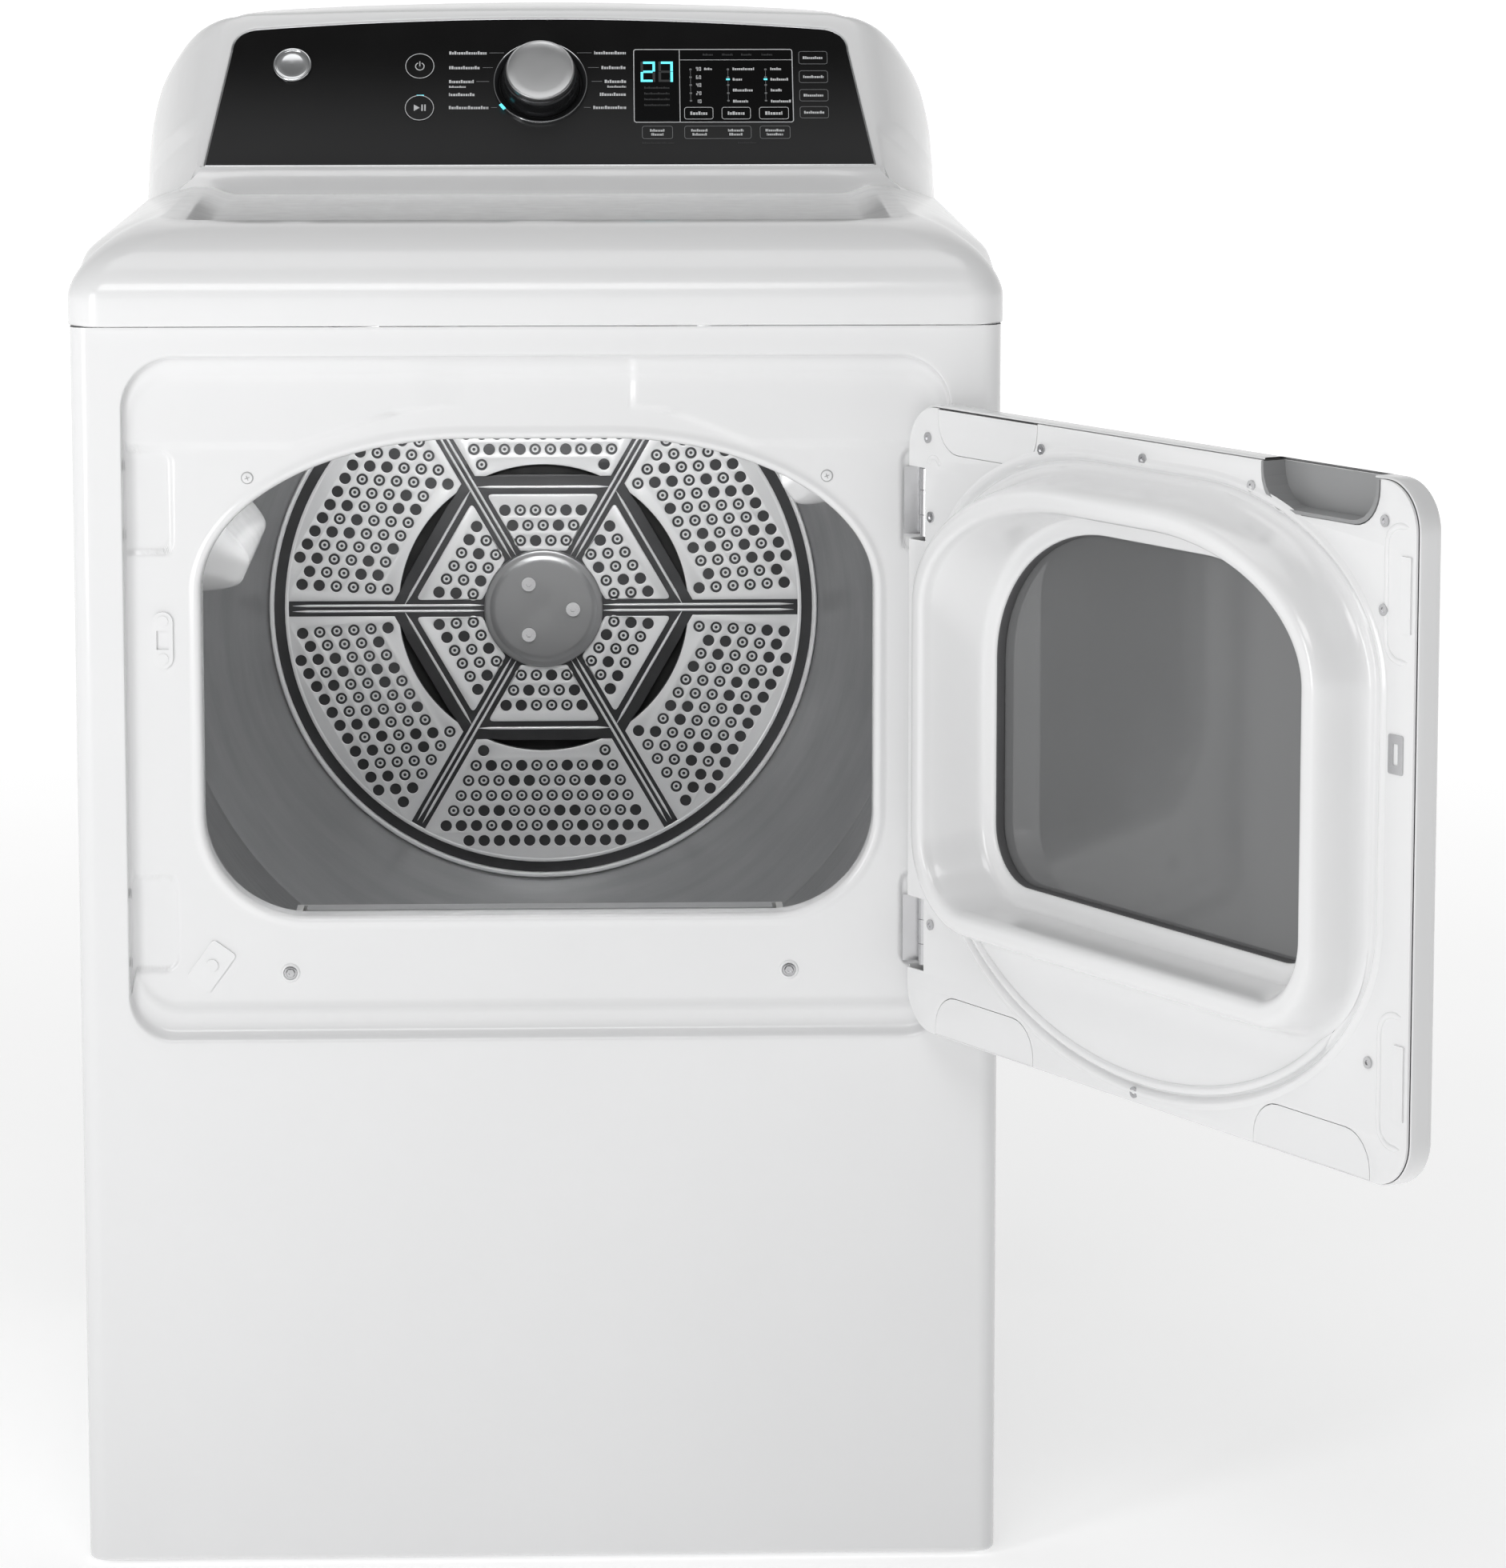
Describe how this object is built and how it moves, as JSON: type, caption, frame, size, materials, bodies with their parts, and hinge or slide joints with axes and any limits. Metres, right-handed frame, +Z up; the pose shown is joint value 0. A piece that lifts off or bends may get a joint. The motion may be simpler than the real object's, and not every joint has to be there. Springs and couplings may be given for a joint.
{
  "type": "clothes dryer",
  "caption": "Free-standing clothes dryer with a side-hinged windowed door held open, a perforated drum, and a sloping rear console with a selector knob.",
  "frame": {"origin": "on the floor, at the centre of the levelling feet", "axes": "+X to the right seen from the front, +Y towards the back, +Z up"},
  "size_m": [0.929, 1.2505, 1.15],
  "materials": {
    "white_enamel": "gloss enamel",
    "white_plastic": "moulded white plastic",
    "console_plastic": "gloss white plastic",
    "black_fascia": "gloss black",
    "display_glass": "gloss black",
    "chrome_trim": "polished",
    "knob_metal": "brushed",
    "dark_metal": "smoked chrome",
    "circuit_board": "solder mask",
    "zinc_steel": "zinc plated",
    "galvanised": "galvanised sheet",
    "felt": "felt",
    "heater_wire": "oxidised",
    "grey_plastic": "matte",
    "handle_grey": "satin",
    "duct_plastic": "matte",
    "motor_paint": "black enamel",
    "belt_rubber": "matte",
    "gasket_rubber": "matte",
    "foot_rubber": "matte",
    "drum_steel": "grey aluminised",
    "drum_rear_steel": "bright",
    "screw_steel": "bright zinc",
    "tinted_glass": "grey tint",
    "filter_screen": "woven mesh"
  },
  "bodies": {
    "cabinet": {"base_pan": "galvanised", "left_side_panel": "white_enamel", "right_side_panel": "white_enamel", "rear_panel": "galvanised", "front_panel": "white_enamel", "top_cover": "white_enamel", "console_shell": "console_plastic", "control_fascia": "black_fascia", "display_lens": "display_glass", "badge": "chrome_trim", "selector_bezel": "dark_metal", "control_board": "circuit_board", "front_bulkhead": "white_enamel", "front_drum_seal": "felt", "heater_housing": "galvanised", "heater_coil": "heater_wire", "rear_bearing": "grey_plastic", "trap_duct": "duct_plastic", "blower_housing": "duct_plastic", "exhaust_duct": "galvanised", "motor_casing": "motor_paint", "drive_belt": "belt_rubber", "idler_spring": "zinc_steel", "hinge_brackets": "zinc_steel", "latch_receiver": "white_plastic", "front_screws": "screw_steel", "catch_plate": "white_plastic", "terminal_cover": "galvanised"},
    "drum": {"drum_shell": "drum_steel", "drum_rear_wall": "drum_rear_steel", "drum_spider": "drum_rear_steel", "hub_screws": "screw_steel", "drum_shaft": "zinc_steel", "baffle_1": "white_plastic", "baffle_2": "white_plastic", "baffle_3": "white_plastic"},
    "motor_rotor": {"rotor_shaft": "zinc_steel", "motor_pulley": "zinc_steel", "blower_wheel": "duct_plastic"},
    "idler_arm": {"idler_arm": "zinc_steel"},
    "idler_wheel": {"idler_wheel": "white_plastic"},
    "door": {"door_outer_panel": "white_enamel", "door_inner_panel": "white_plastic", "door_window": "tinted_glass", "window_gasket": "gasket_rubber", "door_seal": "felt", "handle_insert": "handle_grey", "door_blanks": "white_plastic", "door_screws": "screw_steel", "door_strike": "white_plastic", "hinge_leaves": "zinc_steel"},
    "lint_filter": {"filter_frame": "grey_plastic", "filter_screen": "filter_screen"},
    "selector_knob": {"selector_knob": "knob_metal"},
    "power_button": {"power_button": "black_fascia"},
    "start_button": {"start_button": "black_fascia"},
    "foot_1": {"foot_1": "foot_rubber"},
    "foot_2": {"foot_2": "foot_rubber"},
    "foot_3": {"foot_3": "foot_rubber"},
    "foot_4": {"foot_4": "foot_rubber"}
  },
  "joints": [
    {"name": "door_swing", "type": "hinge", "parent": "cabinet", "child": "door", "pos_m": [0.286, -0.353, 0.643], "axis": [0, 0, 1], "range_deg": [-120, 0]},
    {"name": "drum_spin", "type": "hinge", "parent": "cabinet", "child": "drum", "pos_m": [0, 0, 0.64], "axis": [0, 1, 0], "continuous": true},
    {"name": "motor_spin", "type": "hinge", "parent": "cabinet", "child": "motor_rotor", "pos_m": [-0.07, 0, 0.15], "axis": [0, 1, 0], "continuous": true},
    {"name": "idler_arm_swing", "type": "hinge", "parent": "cabinet", "child": "idler_arm", "pos_m": [-0.19, 0.0435, 0.12], "axis": [0, 1, 0], "range_deg": [-8, 0], "stiffness_Nm_per_rad": 4, "springref_deg": 17.19},
    {"name": "idler_wheel_spin", "type": "hinge", "parent": "idler_arm", "child": "idler_wheel", "pos_m": [-0.128, 0.028, 0.209], "axis": [0, 1, 0], "continuous": true},
    {"name": "lint_filter_slide", "type": "slide", "parent": "cabinet", "child": "lint_filter", "axis": [0, 0, 1], "range_m": [0, 0.3]},
    {"name": "selector_knob_turn", "type": "hinge", "parent": "cabinet", "child": "selector_knob", "pos_m": [0, 0.19748, 1.08702], "axis": [0, -0.8387, 0.5446], "continuous": true},
    {"name": "power_button_press", "type": "slide", "parent": "cabinet", "child": "power_button", "axis": [0, 0.8387, -0.5446], "range_m": [0, 0.0015], "stiffness_N_per_m": 600, "springref_m": -0.001},
    {"name": "start_button_press", "type": "slide", "parent": "cabinet", "child": "start_button", "axis": [0, 0.8387, -0.5446], "range_m": [0, 0.0015], "stiffness_N_per_m": 600, "springref_m": -0.001},
    {"name": "foot_1_level", "type": "slide", "parent": "cabinet", "child": "foot_1", "axis": [0, 0, -1], "range_m": [0, 0.02]},
    {"name": "foot_2_level", "type": "slide", "parent": "cabinet", "child": "foot_2", "axis": [0, 0, -1], "range_m": [0, 0.02]},
    {"name": "foot_3_level", "type": "slide", "parent": "cabinet", "child": "foot_3", "axis": [0, 0, -1], "range_m": [0, 0.02]},
    {"name": "foot_4_level", "type": "slide", "parent": "cabinet", "child": "foot_4", "axis": [0, 0, -1], "range_m": [0, 0.02]}
  ],
  "couplings": [
    {"joint": "motor_spin", "follows": "drum_spin", "ratio": 30.909},
    {"joint": "idler_wheel_spin", "follows": "drum_spin", "ratio": -10.2}
  ]
}
